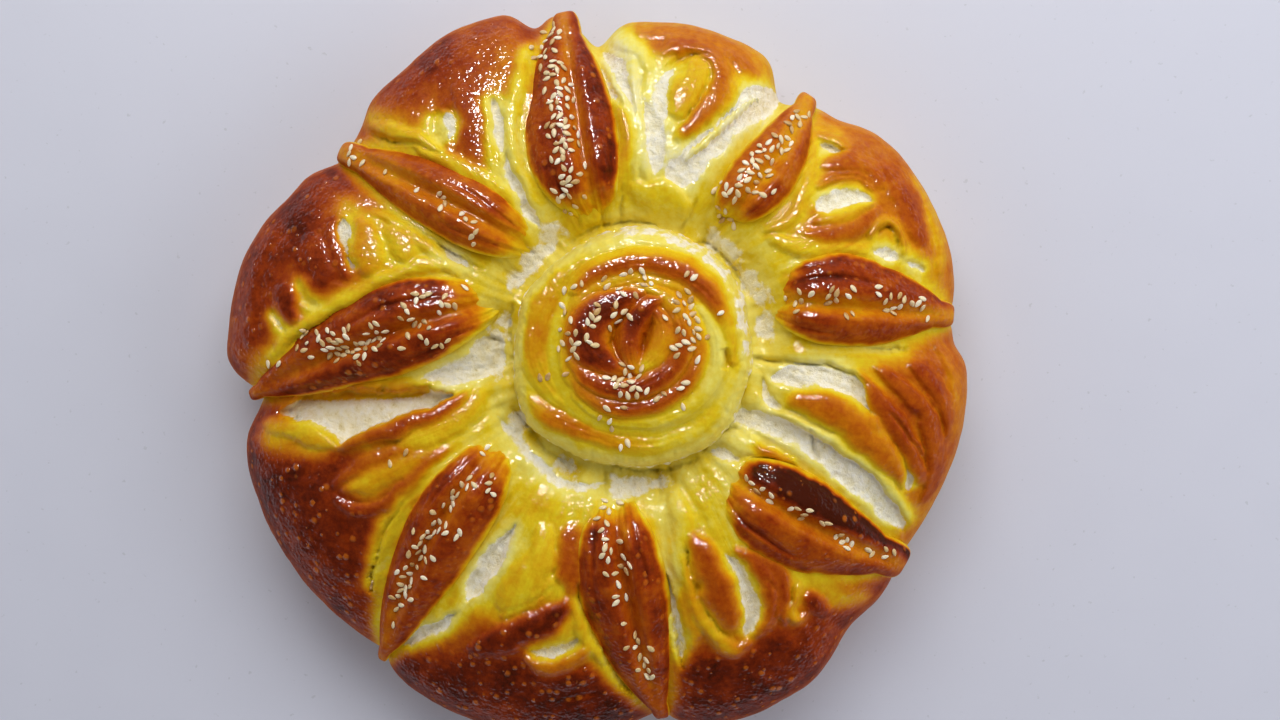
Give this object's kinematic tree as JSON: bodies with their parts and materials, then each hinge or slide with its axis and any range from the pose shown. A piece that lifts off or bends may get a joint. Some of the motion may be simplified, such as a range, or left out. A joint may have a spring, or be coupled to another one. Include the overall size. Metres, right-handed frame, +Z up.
{
  "type": "decorated flower-shaped bread loaf",
  "caption": "Round lobed festive loaf with sesame-topped leaves of dough round a rolled rose, baked into one piece.",
  "frame": {"origin": "on the flat underside, under the middle of the loaf's bounding box", "axes": "+Z up through the rose, along the loaf's shortest side; +Y toward the leaf at the top of the picture, +X to the picture's right"},
  "size_m": [0.2588, 0.252, 0.075],
  "materials": {
    "crust": "egg-washed golden to dark brown crust, glossy on the ridges",
    "sesame": "toasted hulled sesame, dry"
  },
  "bodies": {
    "root": {"loaf": "crust"}
  },
  "joints": []
}
